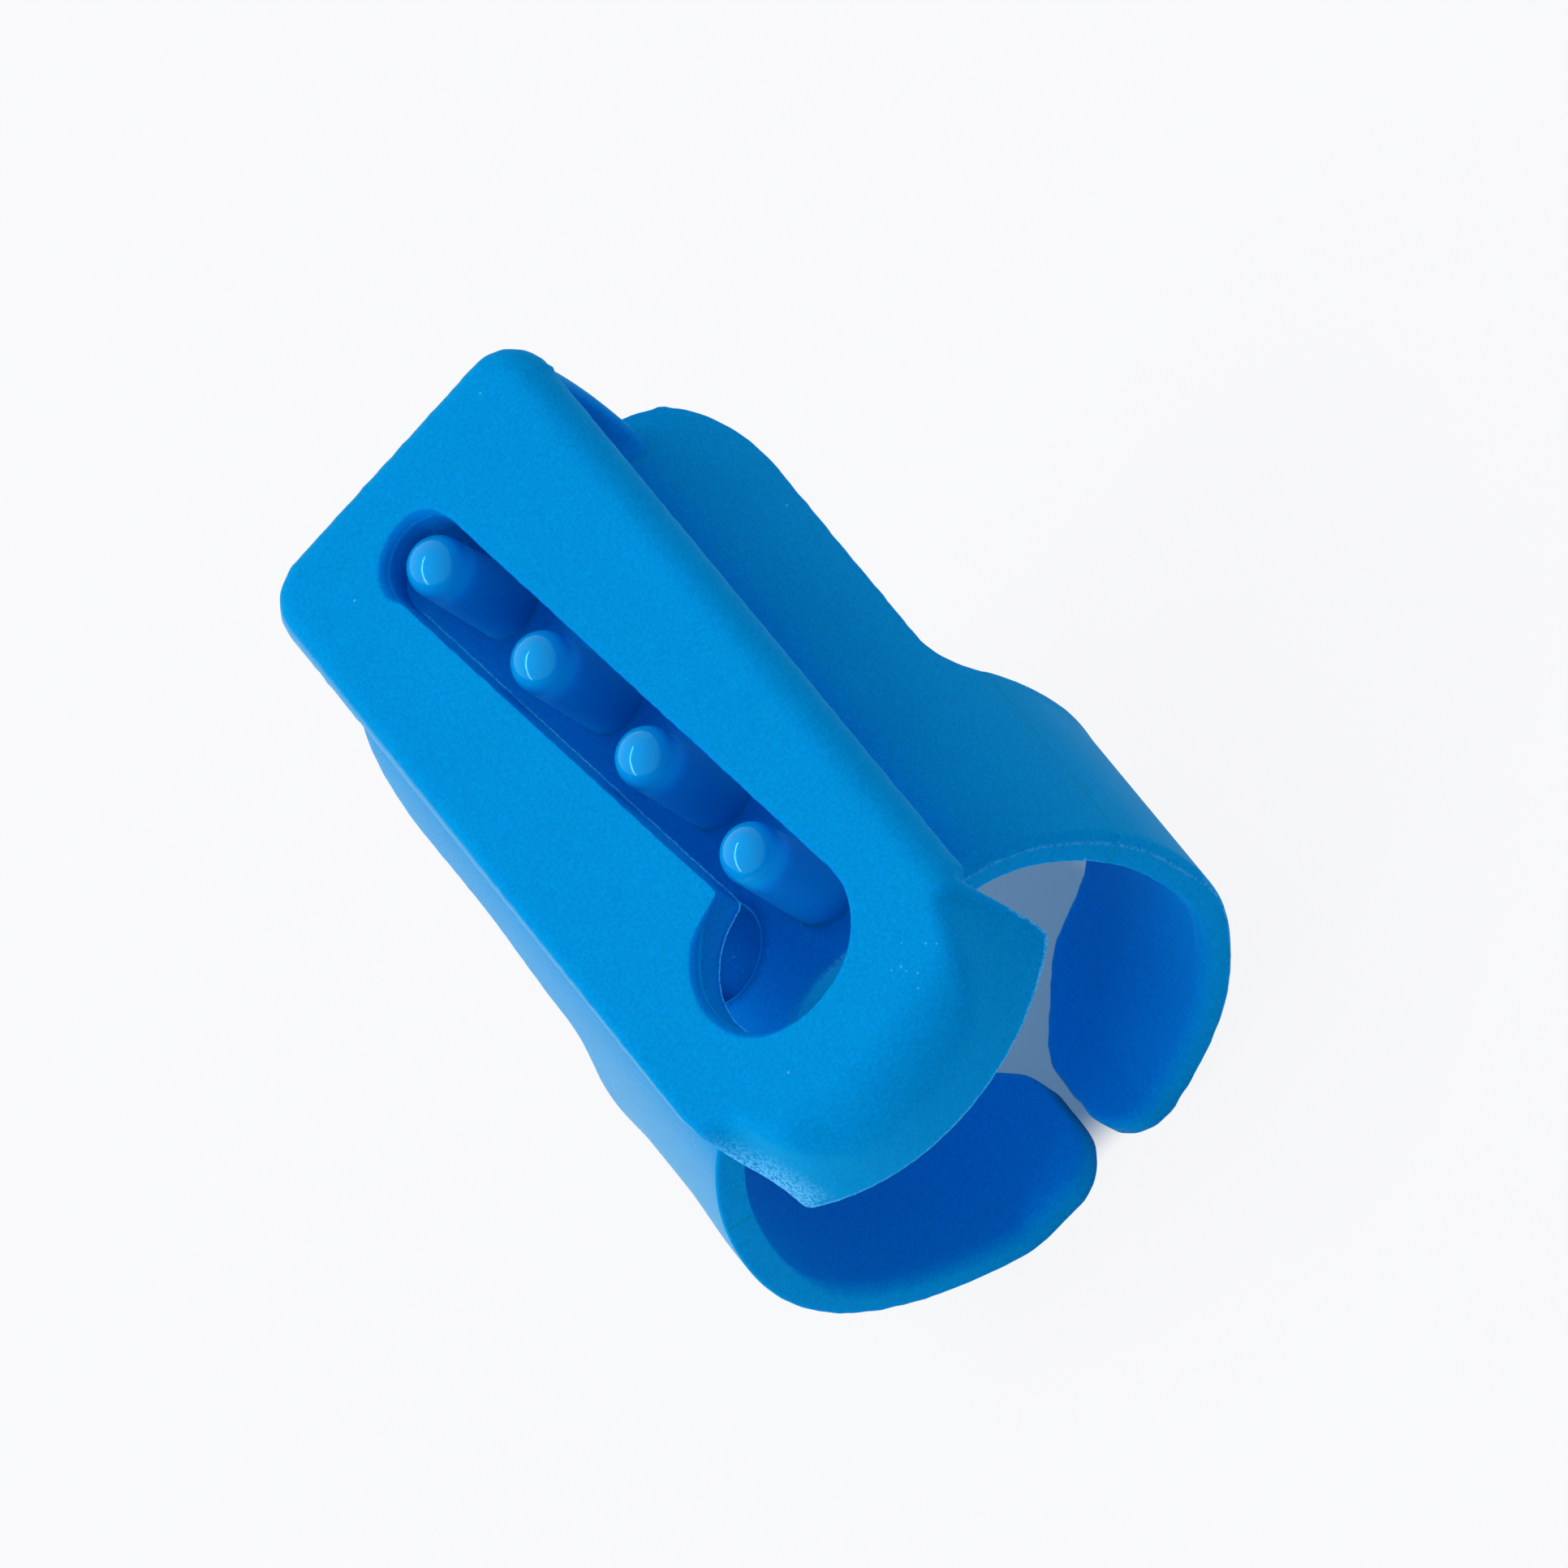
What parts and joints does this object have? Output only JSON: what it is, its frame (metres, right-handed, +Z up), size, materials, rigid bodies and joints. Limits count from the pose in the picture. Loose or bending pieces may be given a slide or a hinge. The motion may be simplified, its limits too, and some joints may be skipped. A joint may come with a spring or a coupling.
{
  "type": "finger-worn yarn guide",
  "caption": "Finger-worn yarn guide: a split flexible ring and saddle carry upright pegs that keep yarns apart under a slotted, strap-hinged lid with a turned-down nose.",
  "frame": {"origin": "on the resting plane under the middle of the bounding box", "axes": "+X across the finger to the right seen from the nose, +Y along the finger towards the hinge strap, +Z up through the lid"},
  "size_m": [0.0214, 0.0366, 0.0266],
  "materials": {
    "blue_matte": "fine spark-eroded grain",
    "blue_gloss": "polished"
  },
  "bodies": {
    "base": {"saddle": "blue_matte", "peg_1": "blue_gloss", "peg_2": "blue_gloss", "peg_3": "blue_gloss", "peg_4": "blue_gloss", "strap_lower": "blue_matte"},
    "right_arm": {"arm_right": "blue_matte"},
    "left_arm": {"arm_left": "blue_matte"},
    "lid": {"lid": "blue_matte", "nose": "blue_matte", "strap_upper": "blue_matte"}
  },
  "joints": [
    {"name": "lid_hinge", "type": "hinge", "parent": "base", "child": "lid", "pos_m": [0.00024, 0.0175, 0.02293], "axis": [-0.9969, 0, -0.0785], "range_deg": [0, 125]},
    {"name": "right_arm_flex", "type": "hinge", "parent": "base", "child": "right_arm", "pos_m": [0.00921, -0.0034, 0.01537], "axis": [0, -1, 0], "range_deg": [0, 12], "stiffness_Nm_per_rad": 0.02},
    {"name": "left_arm_flex", "type": "hinge", "parent": "base", "child": "left_arm", "pos_m": [-0.00921, -0.0034, 0.01537], "axis": [0, 1, 0], "range_deg": [0, 12], "stiffness_Nm_per_rad": 0.02}
  ]
}
